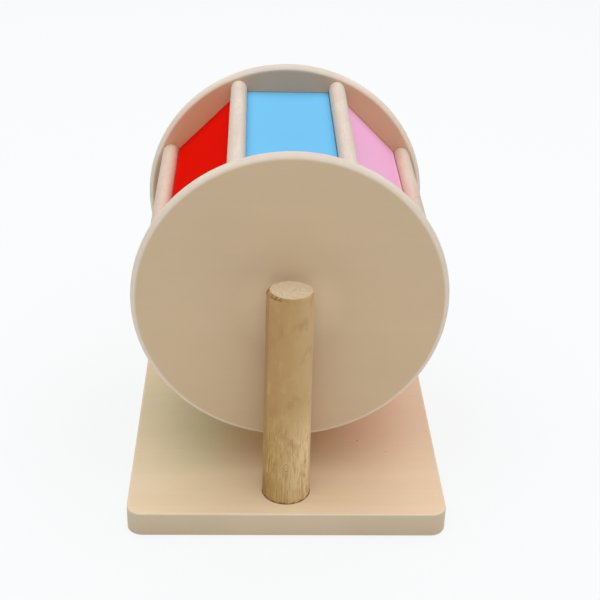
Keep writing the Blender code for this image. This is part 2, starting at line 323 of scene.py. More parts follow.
def new_tree(name, inputs, outputs, kind="ShaderNodeTree"):
    """A node group, from its inputs' values and its outputs' kinds: its wiring, inputs and outputs."""
    tree = bpy.data.node_groups.new(name, kind)
    new_socket = tree.interface.new_socket
    for label, value in inputs.items():
        socket = new_socket(label, in_out="INPUT", socket_type="NodeSocket" + socket_kind(value))
        socket.default_value = value
    for label, output_kind in outputs.items():
        new_socket(label, in_out="OUTPUT", socket_type="NodeSocket" + output_kind)
    wiring = Wiring(tree)
    return wiring, wiring.node("NodeGroupInput").outputs, wiring.node("NodeGroupOutput").inputs


# Effects shared by the finishes


def make_wood_figure():
    """Wood figure: soft bands, fine fibres and small flecks, all drawn out along the grain."""
    sizes = {"Position": ORIGIN, "Squeeze": (0.06, 1.0, 1.0), "Band Width": 0.008, "Fibre Width": 0.0008}
    results = {"Bands": "Float", "Fibres": "Float", "Flecks": "Float"}
    wiring, given, result = new_tree("wood figure", sizes, results)
    along = wiring.vector("MULTIPLY", given["Position"], given["Squeeze"])
    bands = wiring.cloud(along, given["Band Width"], detail=3.0, roughness=0.55, distortion=0.5)
    fibres = wiring.cloud(along, given["Fibre Width"], detail=3.0, roughness=0.6)
    fleck_size = wiring.times(given["Fibre Width"], 1.6)
    flecks = wiring.cloud(wiring.vector("MULTIPLY", along, (2.2, 2.2, 2.2)), fleck_size, detail=1.0)
    wiring.feed(result["Bands"], bands)
    wiring.feed(result["Fibres"], fibres)
    wiring.feed(result["Flecks"], wiring.spread(flecks, 0.66, 0.76))
    return wiring.tree


def make_tone_drift():
    """Tone drift: a colour that wanders a little lighter and darker in wide soft patches."""
    sizes = {"Position": ORIGIN, "Colour": (0.8, 0.8, 0.8, 1.0), "Patch": 0.04, "Amount": 0.04}
    wiring, given, result = new_tree("tone drift", sizes, {"Colour": "Color"})
    swing = wiring.swing(wiring.cloud(given["Position"], given["Patch"]), given["Amount"])
    share = wiring.plus(1.0, wiring.times(swing, 2.0))
    grey = wiring.out("ShaderNodeCombineColor", {0: share, 1: share, 2: share})
    wiring.feed(result["Colour"], wiring.blend(1.0, given["Colour"], grey, "MULTIPLY"))
    return wiring.tree


def make_edge_rub():
    """Edge rub: where an eased edge has been sanded and handled, in uneven patches."""
    sizes = {"Position": ORIGIN, "Edge": 0.0, "Patch": 0.006, "Evenness": 0.6}
    wiring, given, result = new_tree("edge rub", sizes, {"Share": "Float"})
    patch = wiring.cloud(given["Position"], given["Patch"], detail=3.0)
    patchy = wiring.times(wiring.spread(patch, 0.35, 0.65), wiring.minus(1.0, given["Evenness"]))
    share = wiring.plus(given["Evenness"], patchy)
    wiring.feed(result["Share"], wiring.sum("MULTIPLY", given["Edge"], share, clamp=True))
    return wiring.tree


def make_sanded_skin():
    """Sanded skin: the faint even tooth that sanding and thin lacquer leave."""
    sizes = {"Position": ORIGIN, "Grit": 0.0006, "Gloss": 0.5, "Swing": 0.1}
    wiring, given, result = new_tree("sanded skin", sizes, {"Height": "Float", "Roughness": "Float"})
    swing = wiring.swing(wiring.cloud(given["Position"], 0.012), given["Swing"])
    wiring.feed(result["Height"], wiring.cloud(given["Position"], given["Grit"]))
    wiring.feed(result["Roughness"], wiring.plus(given["Gloss"], swing, clamp=True))
    return wiring.tree


WOOD_FIGURE = make_wood_figure()
TONE_DRIFT = make_tone_drift()
EDGE_RUB = make_edge_rub()
SANDED_SKIN = make_sanded_skin()


# Finishes


def emptied(owner):
    """The node tree of a material or a world, with nothing in it yet."""
    owner.use_nodes = True
    owner.node_tree.nodes.clear()
    return owner.node_tree


class Finish(Wiring):
    """A material with one shader, and the shared effects laid out on its piece's own coordinates."""

    def __init__(self, name, shine):
        self.material = bpy.data.materials.new(name)
        super().__init__(emptied(self.material))
        self.shader = self.node("ShaderNodeBsdfPrincipled", {"Specular IOR Level": shine})
        self.node("ShaderNodeOutputMaterial", {"Surface": self.shader.outputs[0]})
        self.position = self.node("ShaderNodeTexCoord").outputs["Object"]

    def marked(self, label):
        """A share that the mesh holds at each vertex."""
        return self.node("ShaderNodeAttribute", attribute_name=label).outputs["Fac"]

    def aside(self):
        """How far to either side of the object's middle plane."""
        return self.sum("ABSOLUTE", self.axes(self.position)[0])

    def drawn(self, squeeze):
        """The position squeezed along some of its axes, which draws a pattern out."""
        return self.vector("MULTIPLY", self.position, squeeze)

    def from_place(self, place, squeeze):
        """How far from a place, with the distance squeezed along some of its axes."""
        away = self.vector("SUBTRACT", self.position, place)
        return self.length(self.vector("MULTIPLY", away, squeeze))

    def effect(self, shared, *values):
        """A shared effect's outputs. Its inputs are the position and these values, in the tree's order."""
        inputs = dict(enumerate((self.position, *values)))
        return self.node("ShaderNodeGroup", inputs, node_tree=shared).outputs

    def figure(self, squeeze, band, fibre):
        """Wood figure squeezed along the grain."""
        return self.effect(WOOD_FIGURE, squeeze, band, fibre)

    def drift(self, colour, patch, amount):
        """A colour with its tone drift."""
        return self.effect(TONE_DRIFT, colour, patch, amount)[0]

    def rubbed(self, patch, evenness):
        """The share of edge rub along the edges that the mesh marks."""
        return self.effect(EDGE_RUB, self.marked("edge"), patch, evenness)[0]

    def skin(self, grit, gloss, swing):
        """The height and the roughness of the sanded skin."""
        return self.effect(SANDED_SKIN, grit, gloss, swing).values()

    def dress(self, colour, roughness, height, depth):
        """Feed the shader, with a relief of this depth, and hand over the material."""
        relief = self.out("ShaderNodeBump", {"Height": height, "Distance": depth})
        for label, value in (("Base Color", colour), ("Roughness", roughness), ("Normal", relief)):
            self.feed(self.shader.inputs[label], value)
        return self.material


def pale_wood(
    name, squeeze, light, dark, rim, band=0.012, fibre=0.0007, fleck=0.15, painted_light_rounds=(), painted_light_tints=(), spots=()
):
    """Clear-lacquered pale wood with a quiet figure and a lighter edge, partly sanding and partly a painted
    highlight.

    Each of the rounds is painted light: a centre, the radii within and past which it is full and gone, and
    a tone.
    Each of the tints is painted light: an attribute on the mesh and two tones for where it is 1, the first
    near the middle of the object and the second towards its sides. The wood is multiplied by these tones,
    which paint shade, sheen and thrown colour.
    Each of the spots is the place, the size and the strength of a pin knot.
    """
    look = Finish(name, 0.5)
    figure = look.figure(squeeze, band, fibre)
    streak = look.weighed(figure["Bands"], figure["Fibres"], 0.6)
    wood = look.between(look.spread(streak, 0.3, 0.7), dark, light)
    wood = look.stain(wood, figure["Flecks"], [c * 0.82 for c in dark], fleck)
    wood = look.drift(wood, 0.05, 0.03)
    # Painted light: each round lightens the wood about its centre, in place of the light that a post's
    # shade takes away.
    for centre, inner, outer, tone in painted_light_rounds:
        away = look.from_place(centre, (1.0, 0.0, 1.0))
        wood = look.tint(wood, look.spread(away, outer, inner), tone)
    # A lighter colour along the marked edges: partly sanding, partly a painted highlight
    wood = look.stain(wood, look.rubbed(0.006, 0.9), rim)
    # Painted light: tones that darken and tint the wood where the mesh marks, for shade, sheen and the
    # colour that nearby parts throw.
    for label, middle, sides in painted_light_tints:
        tone = look.blend(look.spread(look.aside(), 0.022, 0.045), (*middle, 1.0), (*sides, 1.0))
        wood = look.blend(look.marked(label), wood, tone, "MULTIPLY")
    for place, size, strength in spots:
        away = look.apart(look.position, place)
        wood = look.stain(wood, look.spread(away, size, size * 0.4, 0.0, strength), PIN_KNOT)
    height, roughness = look.skin(0.0005, 0.5, 0.12)
    return look.dress(wood, roughness, look.weighed(figure["Fibres"], height, 0.6), 0.00004)


def bar_wood():
    """Pinkish beech for the bars: soft bands, fibres and flecks, and a tone of its own for each bar."""
    look = Finish("bar beech", 0.4)
    figure = look.figure((1.0, 0.14, 1.0), 0.005, 0.0009)
    wood = look.between(look.spread(figure["Bands"], 0.3, 0.7), BAR_COLOURS["dark"], BAR_COLOURS["light"])
    wood = look.stain(wood, look.marked("tone"), BAR_COLOURS["blush"], 0.5)
    wood = look.stain(wood, look.spread(figure["Fibres"], 0.53, 0.72, 0.0, 0.4), BAR_COLOURS["fibre"])
    wood = look.stain(wood, figure["Flecks"], BAR_COLOURS["fleck"], 0.6)

    # Painted shade and reflected panel colour: the bars out at the sides are darker and redder, most of all
    # where they face the drum's middle
    across = look.aside()
    outer = look.spread(across, 0.05, 0.06)
    wood = look.tint(wood, look.times(outer, 0.8), (0.95, 0.87, 0.82))
    inner = look.times(outer, look.spread(across, 0.0715, 0.0672))
    wood = look.tint(wood, inner, (0.96, 0.82, 0.74))

    away = look.apart(look.position, BAR_KNOT)
    wood = look.stain(wood, look.spread(away, 0.0016, 0.0005, 0.0, 0.5), BAR_COLOURS["knot"])
    wood = look.drift(wood, 0.01, 0.05)
    height, roughness = look.skin(0.0005, 0.5, 0.15)
    return look.dress(wood, roughness, look.weighed(figure["Fibres"], height, 0.7), 0.00006)


def post_side(look, fine, across, depth, height, low):
    """Colour of a post's side: painted light and shade, lighter to the right with a painted highlight
    stripe and darker to the left with a painted shade stripe; cloudy above, fibred below, a knot in front
    and a dark line at the board.
    """
    colours = POST_COLOURS
    # Painted light and shade: the side is darker to the left and lighter to the right, lightest low on the
    # right
    lit_to_right = look.sum("POWER", look.out("ShaderNodeMapRange", {0: across, 1: -0.0118, 2: 0.0108}), 1.6)
    upper = look.between(lit_to_right, colours["shaded left above"], colours["lit right above"])
    lower = look.between(lit_to_right, colours["shaded left below"], colours["lit right below"])
    side = look.blend(low, upper, lower)

    cloudy = look.cloud(look.drawn((1.0, 1.0, 0.55)), 0.007, detail=3.0, roughness=0.55)
    side = look.stain(side, look.spread(cloudy, 0.52, 0.70, 0.0, 0.45), colours["dark cloud"])
    side = look.stain(side, look.spread(cloudy, 0.48, 0.30, 0.0, 0.4), colours["light cloud"])

    fibred = look.spread(height, 0.080, 0.050)
    light = look.times(look.spread(fine["Fibres"], 0.46, 0.34), fibred)
    side = look.stain(side, light, colours["light fibre"], 0.55)
    dark = look.times(look.spread(fine["Fibres"], 0.53, 0.64), look.plus(look.times(fibred, 0.92), 0.08))
    side = look.stain(side, dark, colours["dark fibre"], 0.42)
    streak = look.times(look.spread(fine["Bands"], 0.56, 0.68), low)
    side = look.stain(side, streak, colours["streak"], 0.4)
    # Painted shade low on the left, beside the foot
    foot = look.times(look.spread(height, 0.034, 0.022), look.spread(across, 0.0, -0.008))
    side = look.stain(side, foot, colours["shade left of foot"], 0.15)

    wide, tall = POST_KNOT_SIZE
    away = look.from_place(POST_KNOT, (1 / wide, 0.0, 1 / tall))
    away = look.plus(away, look.swing(fine["Bands"], 1.2))
    ring = look.times(look.sum("SINE", look.times(away, 12.0)), 0.5)
    knot = look.between(look.plus(ring, 0.5), colours["light knot"], colours["dark knot"])
    in_front = look.spread(depth, -0.096, -0.1)
    side = look.blend(look.times(look.spread(away, 1.15, 0.8, 0.0, 0.4), in_front), side, knot)

    # Painted highlight down the right edge and painted shade down the left edge
    side = look.stain(side, look.spread(across, 0.0107, 0.0119), colours["highlight stripe right"], 0.75)
    side = look.stain(side, look.spread(across, -0.0116, -0.0124), colours["shade stripe left"], 0.35)
    contact = look.minus(height, look.swing(look.cloud(look.position, 0.0022), 0.004, 0.45))
    line = look.spread(contact, BOARD_THICKNESS + 0.0008, BOARD_THICKNESS, 0.0, 0.75)
    side = look.stain(side, line, colours["socket line"])
    return look.stain(side, look.rubbed(0.0022, 0.15), colours["worn arris"])


def post_end(look, across, depth):
    """Colour of a post's end grain: growth rings round a heart off the centre, with pink patches."""
    out = look.minus(look.sum("ABSOLUTE", depth), POST_CENTRE)
    heart = look.length(look.point(look.minus(across, 0.006), out))
    heart = look.plus(heart, look.times(look.cloud(look.position, 0.006, detail=3.0), 0.009))
    growth = look.sum("SINE", look.times(heart, math.tau / 0.0026))
    speck = look.cloud(look.position, 0.0020, detail=3.0, roughness=0.6)
    grown_share = look.spread(look.plus(look.times(growth, 0.22), speck), 0.2, 0.8)
    end = look.between(grown_share, POST_COLOURS["dark end"], POST_COLOURS["light end"])
    pink = look.cloud(look.vector("ADD", look.position, (0.2, 0.0, 0.0)), 0.0022)
    return look.stain(end, look.spread(pink, 0.50, 0.64, 0.0, 0.6), POST_COLOURS["pink end"])


def post_wood():
    """Golden brown wood for the posts, with raised fibres on the side and pale end grain."""
    look = Finish("post wood", 0.4)
    across, depth, height = look.axes(look.position)
    low = look.spread(height, 0.083, 0.046)
    fine = look.figure((1.0, 1.0, 0.09), 0.003, 0.0009)
    side = post_side(look, fine, across, depth, height, low)
    wood = look.blend(look.marked("end"), side, post_end(look, across, depth))
    tooth, roughness = look.skin(0.0005, 0.5, 0.15)
    ridges = look.times(fine["Fibres"], look.plus(look.times(low, 0.8), 0.1))
    return look.dress(wood, roughness, look.plus(ridges, look.times(tooth, 0.15)), 0.00012)


def panel_paint(label, colour):
    """Smooth satin paint over a thin board, with faint brush lines along the panel and rubbed edges."""
    look = Finish(label + " paint", 0.0)
    lighter = [c + (255 - c) * 0.18 for c in colour]
    paint = look.stain(look.drift(linear(colour), 0.03, 0.02), look.rubbed(0.003, 0.3), lighter, 0.6)
    lines = look.cloud(look.drawn((1.0, 0.05, 1.0)), 0.0012)
    height, roughness = look.skin(0.0009, 0.42, 0.08)
    return look.dress(paint, roughness, look.weighed(lines, height, 0.7), 0.00002)


def drawn_steel():
    """Bright steel with fine drawing lines and a little dulling."""
    look = Finish("drawn steel", 0.5)
    look.shader.inputs["Metallic"].default_value = 1.0
    steel = look.drift(linear(STEEL), 0.004, 0.08)
    lines = look.cloud(look.drawn((1.0, 0.04, 1.0)), 0.0003)
    roughness = look.skin(0.0004, 0.3, 0.15)[1]
    return look.dress(steel, roughness, lines, 0.00001)


# Making meshes


def put(name, mesh, material=None):
    """An object at the origin that holds a mesh, a lamp or a camera."""
    made = bpy.data.objects.new(name, mesh)
    bpy.context.scene.collection.objects.link(made)
    if material is not None:
        cover(made, material)
    return made


def cover(piece, material):
    """Give a piece one material and no other."""
    piece.data.materials.clear()
    piece.data.materials.append(material)


def mesh_of(name, shape):
    """A bmesh as a mesh with its faces outwards."""
    bmesh.ops.recalc_face_normals(shape, faces=shape.faces)
    mesh = bpy.data.meshes.new(name)
    shape.to_mesh(mesh)
    shape.free()
    return mesh


def block(size, place=Matrix()):
    """A bmesh of a plain block, round the origin or placed by a matrix."""
    shape = bmesh.new()
    bmesh.ops.create_cube(shape, size=1)
    bmesh.ops.transform(shape, matrix=place @ Matrix.Diagonal(Vector((*size, 1))), verts=shape.verts)
    return shape


def bridge(shape, loops):
    """Faces from each loop of points to the next. A loop may be a single point."""
    for first, second in zip(loops, loops[1:]):
        count = max(len(first), len(second))
        for step in range(count):
            after = (step + 1) % count
            corners = [first[step % len(first)], first[after % len(first)]]
            corners += [second[after % len(second)], second[step % len(second)]]
            shape.faces.new(list(dict.fromkeys(corners)))


def turned(name, profile, segments, centre, axis="Y", ring=False, shape_point=None):
    """A mesh turned about an axis through a centre. The profile holds (radius, place along the axis)."""
    shape = bmesh.new()
    loops = []
    for radius, place in profile:
        points = []
        for step in range(1 if radius == 0 else segments):
            angle = math.tau * step / segments
            r, p = (radius, place) if shape_point is None else shape_point(angle, radius, place)
            across, up = r * math.cos(angle), r * math.sin(angle)
            point = Vector((across, p, up)) if axis == "Y" else Vector((across, up, p))
            points.append(shape.verts.new(centre + point))
        loops.append(points)
    bridge(shape, loops + loops[:1] if ring else loops)
    return mesh_of(name, shape)


def rounded(radius, low, high, edge, steps):
    """Profile of a rim between two faces, with both its edges rounded over."""
    angles = [math.pi / 2 * step / steps for step in range(steps + 1)]
    first = [(radius - edge + edge * math.sin(a), low + edge - edge * math.cos(a)) for a in angles]
    return first + [(radius - edge + edge * math.cos(a), high - edge + edge * math.sin(a)) for a in angles]


def baked(piece):
    """Turn a piece's modifiers into plain mesh."""
    graph = bpy.context.evaluated_depsgraph_get()
    mesh = bpy.data.meshes.new_from_object(piece.evaluated_get(graph), depsgraph=graph)
    piece.modifiers.clear()
    piece.data = mesh
    return piece


def cut(piece, cutters):
    """Take the cutters away from a piece."""
    for cutter in cutters:
        step = piece.modifiers.new("cut", "BOOLEAN")
        step.object = cutter
        step.solver = "EXACT"
        step.operation = "DIFFERENCE"
    bpy.context.view_layer.update()
    baked(piece)
    for cutter in cutters:
        bpy.data.objects.remove(cutter)
    return piece


def smooth(piece, sharp=35):
    """Shade a piece smoothly, keep its corners sharp and its flat faces flat."""
    piece.data.shade_smooth()
    piece.data.set_sharp_from_angle(angle=math.radians(sharp))
    weighted = piece.modifiers.new("flat faces", "WEIGHTED_NORMAL")
    weighted.keep_sharp = True
    return baked(piece)


def mark(piece, label, rule):
    """Keep a share from 0 to 1 at each vertex, by its place."""
    layer = piece.data.attributes.new(label, "FLOAT", "POINT")
    layer.data.foreach_set("value", [rule(vertex.co) for vertex in piece.data.vertices])


def rod_cutter(radius, low, high, centre, axis="Y"):
    """A plain round cutter."""
    profile = [(0, low), (radius, low), (radius, high), (0, high)]
    return put("cutter", turned("cutter", profile, ROD_SEGMENTS, centre, axis))


def finish(piece, body, slot, *nodes):
    """Ride a piece on its body and hide the CAD nodes that it stands for. The slot, its finish, is not
    used.
    """
    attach(piece, body)
    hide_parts(*nodes)


# Geometry trees


def rod(wiring, outline, axis, sides):
    """A round rod. Its outline holds places along the axis, with the radius at each."""
    count = len(outline)
    line = wiring.out("GeometryNodeCurvePrimitiveLine")
    points = wiring.out("GeometryNodeResampleCurve", {"Curve": line, "Count": count})
    index = wiring.out("GeometryNodeInputIndex")

    def by_index(values):
        chosen = wiring.node("GeometryNodeIndexSwitch", data_type="FLOAT")
        for _ in range(count - 2):
            chosen.index_switch_items.new()
        wiring.feed(chosen.inputs["Index"], index)
        for number, value in enumerate(values):
            wiring.feed(chosen.inputs[number + 1], value)
        return chosen.outputs[0]

    places, radii = zip(*outline)
    at = wiring.out("ShaderNodeCombineXYZ", {axis: by_index(places)})
    curve = wiring.out("GeometryNodeSetPosition", {"Geometry": points, "Position": at})
    return swept(wiring, curve, by_index(radii), sides)


def swept(wiring, curve, scale, sides):
    """A circle swept along a curve, with its ends closed."""
    circle = wiring.out("GeometryNodeCurvePrimitiveCircle", {"Resolution": sides, "Radius": 1.0})
    values = {"Curve": curve, "Profile Curve": circle, "Scale": scale, "Fill Caps": True}
    return wiring.out("GeometryNodeCurveToMesh", values)


def copies(wiring, piece, count, place, turn=ORIGIN):
    """Copies of a piece, each at its own place and with its own turn."""
    points = wiring.out("GeometryNodePoints", {"Count": count, "Position": place})
    values = {"Points": points, "Instance": piece, "Rotation": turn}
    return wiring.out("GeometryNodeInstanceOnPoints", values)


def end_tree(wiring, given, result, instances):
    """Finish a tree: its instances as plain mesh with the material."""
    solid = wiring.out("GeometryNodeRealizeInstances", {"Geometry": instances})
    values = {"Geometry": solid, "Material": given["Material"]}
    wiring.feed(result["Geometry"], wiring.out("GeometryNodeSetMaterial", values))
    return wiring.tree


def grown(name, tree, values):
    """The plain mesh that a geometry tree makes with these inputs."""
    piece = put(name, bpy.data.meshes.new(name))
    step = piece.modifiers.new(tree.name, "NODES")
    step.node_group = tree
    sockets = {item.name: item.identifier for item in tree.interface.items_tree if item.in_out == "INPUT"}
    for label, value in values.items():
        step[sockets[label]] = value
    bpy.context.view_layer.update()
    return smooth(baked(piece))


# The drum


def round_drum(angle, radius):
    """A place on the drum's axis, turned to an angle and moved out from it."""
    turn = Matrix.Rotation(-angle, 4, "Y")
    return Matrix.Translation(DRUM_CENTRE) @ turn @ Matrix.Translation((radius, 0, 0))


def disc_edge_share(low, high):
    """A rule for how far round a disc's edge a point is, from 0 at a low angle to 1 at a high one."""

    def share(point):
        away = math.hypot(point.x, point.z - AXLE_HEIGHT)
        turn = math.degrees(math.asin(capped((away - DRUM_RADIUS + DISC_EDGE) / DISC_EDGE)))
        return capped((turn - low) / (high - low))

    return share


def make_disc(name, node, side, material):
    """One end of the drum: rounded rim, axle bore, blind holes for the bars and slots for the panels."""
    low, high = sorted((side * DRUM_LENGTH / 2, side * INNER_HALF))
    bore = AXLE_RADIUS + GAP
    support = DRUM_RADIUS - DISC_EDGE - 0.0003
    profile = [(bore, low), (support, low)]
    profile += rounded(DRUM_RADIUS, low, high, DISC_EDGE, EDGE_STEPS)
    profile += [(support, high), (bore, high)]
    disc = put(name, turned(name, profile, DISC_SEGMENTS, DRUM_CENTRE, ring=True))
    bar_ends = sorted((side * (INNER_HALF - CUTTER_REACH), side * (INNER_HALF + BAR_SEAT)))
    slot = (PANEL_THICKNESS + GAP, 2 * PANEL_SEAT, 2 * (PANEL_HALF_WIDTH + HAIRLINE))
    slot_radius = PANEL_FACE + GAP - HAIRLINE - (PANEL_THICKNESS + GAP) / 2
    cutters = []
    for number in range(PANEL_COUNT):
        turn = HALF_STEP * (2 * number + 1)
        centre = round_drum(turn, BAR_CIRCLE).translation
        cutters.append(rod_cutter(BAR_RADIUS + HAIRLINE, *bar_ends, centre))
        place = Matrix.Translation((0, side * INNER_HALF, 0)) @ round_drum(turn - HALF_STEP, slot_radius)
        cutters.append(put("cutter", mesh_of("cutter", block(slot, place))))
    smooth(cut(disc, cutters))
    # The edge share carries a lighter colour: partly sanding, partly a painted highlight
    mark(disc, "edge", disc_edge_share(*DISC_RUB))
    # The rim's tint: painted shade and sheen, darkest at the top and bottom of the disc
    mark(disc, "rim", disc_edge_share(*DISC_RIM))
    # The inner faces' tint: painted shade with the colour that the panels throw on them
    mark(disc, "inside", lambda point: float(abs(point.y) < INNER_HALF + HAIRLINE))
    cover(disc, material)
    finish(disc, "drum", "disc_wood", node)


def make_panel(label, turn, material):
    """A painted board between two bars, its edges eased and its ends in the discs' slots."""
    name = label + "_board"
    size = (PANEL_THICKNESS, 2 * half_sizes("panel_" + label)[1], 2 * PANEL_HALF_WIDTH)
    shape = block(size)
    bmesh.ops.bevel(shape, geom=shape.edges[:], offset=PANEL_EDGE, segments=3, profile=0.5, affect="EDGES")
    edge = shape.verts.layers.float.new("edge")
    for vertex in shape.verts:
        inside = [abs(c) < s / 2 - PANEL_EDGE + HAIRLINE for c, s in zip(vertex.co, size)]
        vertex[edge] = float(sum(inside) < 2)
    place = round_drum(turn, PANEL_FACE - PANEL_THICKNESS / 2)
    bmesh.ops.transform(shape, matrix=place, verts=shape.verts)
    panel = smooth(put(name, mesh_of(name, shape), material))
    finish(panel, "drum", label + "_paint", "panel_" + label)


def bar_ring_tree(sizes):
    """Geometry tree: bars set in a circle about the drum's axis, each with a tone of its own."""
    results = {"Geometry": "Geometry"}
    wiring, given, result = new_tree("ring of bars", sizes, results, "GeometryNodeTree")
    half, radius, circle = given["Half Length"], given["Bar Radius"], given["Circle Radius"]
    neck = wiring.minus(half, given["Chamfer"])
    tip = wiring.minus(radius, given["Chamfer"])
    front = [(wiring.times(half, -1.0), tip), (wiring.times(neck, -1.0), radius)]
    bar = rod(wiring, front + [(neck, radius), (half, tip)], 1, given["Sides"])
    step = wiring.sum("DIVIDE", math.tau, given["Count"])
    turn = wiring.plus(given["First Angle"], wiring.times(wiring.out("GeometryNodeInputIndex"), step))
    across = wiring.times(wiring.sum("COSINE", turn), circle)
    up = wiring.plus(wiring.times(wiring.sum("SINE", turn), circle), given["Axis Height"])
    spin = wiring.out("FunctionNodeEulerToRotation", {0: wiring.point(y=turn)})
    ring = copies(wiring, bar, given["Count"], wiring.point(across, 0.0, up), spin)
    tone = wiring.node("FunctionNodeRandomValue", {"Seed": given["Seed"]}, data_type="FLOAT").outputs[1]
    values = {"Geometry": ring, "Name": "tone", "Value": tone}
    toned = wiring.out("GeometryNodeStoreNamedAttribute", values, domain="INSTANCE")
    return end_tree(wiring, given, result, toned)


def make_bars():
    """The eight bars as one piece."""
    sizes = {
        "Count": PANEL_COUNT,
        "Circle Radius": BAR_CIRCLE,
        "First Angle": HALF_STEP,
        "Bar Radius": BAR_RADIUS,
        "Half Length": half_sizes("dowel_1")[1],
        "Chamfer": BAR_CHAMFER,
        "Axis Height": AXLE_HEIGHT,
        "Sides": ROD_SEGMENTS,
        "Seed": 5,
        "Material": bar_wood(),
    }
    bars = grown("bar_ring", bar_ring_tree(sizes), sizes)
    finish(bars, "drum", "dowel_wood", *[f"dowel_{number + 1}" for number in range(PANEL_COUNT)])


# The stand


def corner_outline(half_width, half_length, corner, inset, steps):
    """Points round a rectangle with rounded corners, set in by a distance."""
    points = []
    radius = corner - inset
    for quarter, (sx, sy) in enumerate(((1, 1), (-1, 1), (-1, -1), (1, -1))):
        for step in range(steps + 1):
            angle = math.pi / 2 * (quarter + step / steps)
            x = sx * (half_width - corner) + radius * math.cos(angle)
            y = sy * (half_length - corner) + radius * math.sin(angle)
            points.append((x, y))
    return points


def make_board(material):
    """The board, with rounded corners, eased edges, a socket for each post and recesses for the screws."""
    half_width, half_length, _ = half_sizes("base_board")
    rim = rounded(0.0, 0.0, BOARD_THICKNESS, BOARD_EDGE, EDGE_STEPS)
    flat = BOARD_EDGE + 0.0004
    rings = [(flat, 0.0)] + [(-out, height) for out, height in rim] + [(flat, BOARD_THICKNESS)]
    shape = bmesh.new()
    loops = []
    for inset, height in rings:
        outline = corner_outline(half_width, half_length, BOARD_CORNER, inset, 2 * EDGE_STEPS)
        loops.append([shape.verts.new((x, y, height)) for x, y in outline])
    bridge(shape, loops)
    shape.faces.new(loops[0][::-1])
    shape.faces.new(loops[-1])
    board = put("board", mesh_of("board", shape))

    low, step, high = -CUTTER_REACH, SCREW_SUNK + SCREW_HEAD_HEIGHT, BOARD_THICKNESS + CUTTER_REACH
    head, shank = SCREW_HEAD_RADIUS + GAP, SCREW_RADIUS + GAP
    screw_path = [(0, low), (head, low), (head, step), (shank, step), (shank, high), (0, high)]
    cutters = []
    for side in (-1, 1):
        centre = Vector((0, side * POST_CENTRE, 0))
        foot = centre - Vector((FRONT_POST_SHIFT[0] if side < 0 else 0, 0, 0))
        cutters.append(rod_cutter(POST_FOOT_RADIUS + GAP, BOARD_THICKNESS - SOCKET_DEPTH, high, foot, "Z"))
        cutters.append(put("cutter", turned("cutter", screw_path, ROD_SEGMENTS, centre, "Z")))
    smooth(cut(board, cutters))

    def near_side(point):
        past_x = abs(point.x) - half_width + BOARD_CORNER
        past_y = abs(point.y) - half_length + BOARD_CORNER
        reach = math.hypot(past_x, past_y) if past_x > 0 and past_y > 0 else max(past_x, past_y)
        return reach > BOARD_CORNER - BOARD_EDGE + 0.00001

    def edge_share(point):
        eased = not BOARD_EDGE < point.z < BOARD_THICKNESS - BOARD_EDGE
        return float(near_side(point) and eased)

    # Painted shade: the board's sides and the lower part of its eased edges are darker
    def side_shade_share(point):
        return capped((BOARD_THICKNESS - point.z) / BOARD_EDGE) if near_side(point) else 0.0

    # The edge share carries a lighter colour: partly sanding, partly a painted highlight along the arris
    mark(board, "edge", edge_share)
    mark(board, "side", side_shade_share)
    cover(board, material)
    finish(board, "stand", "board_wood", "base_board")


def post_radius(height):
    """Radius of the tapered post at a height above the floor."""
    share = (height - BOARD_THICKNESS) / (POST_TOP - BOARD_THICKNESS)
    return POST_FOOT_RADIUS + (POST_TOP_RADIUS - POST_FOOT_RADIUS) * share


def post_profile(foot, arris):
    """Profile of a post from its foot to the middle of its top, as shares of its radius and heights."""
    profile = [(0, foot), (0.8, foot), (0.98, foot), (1.0, foot + 0.0004)]
    for step in range(POST_STEPS + 1):
        profile.append((1.0, foot + 0.001 + (arris - 0.0015 - foot) * step / POST_STEPS))
    profile += [(1.0, arris + 0.0016 * step / 5) for step in range(6)]
    profile += [(0.99, POST_TOP - 0.0001), (0.97, POST_TOP)]
    return profile + [(share, POST_TOP) for share in (0.9, 0.75, 0.5, 0.25, 0)]


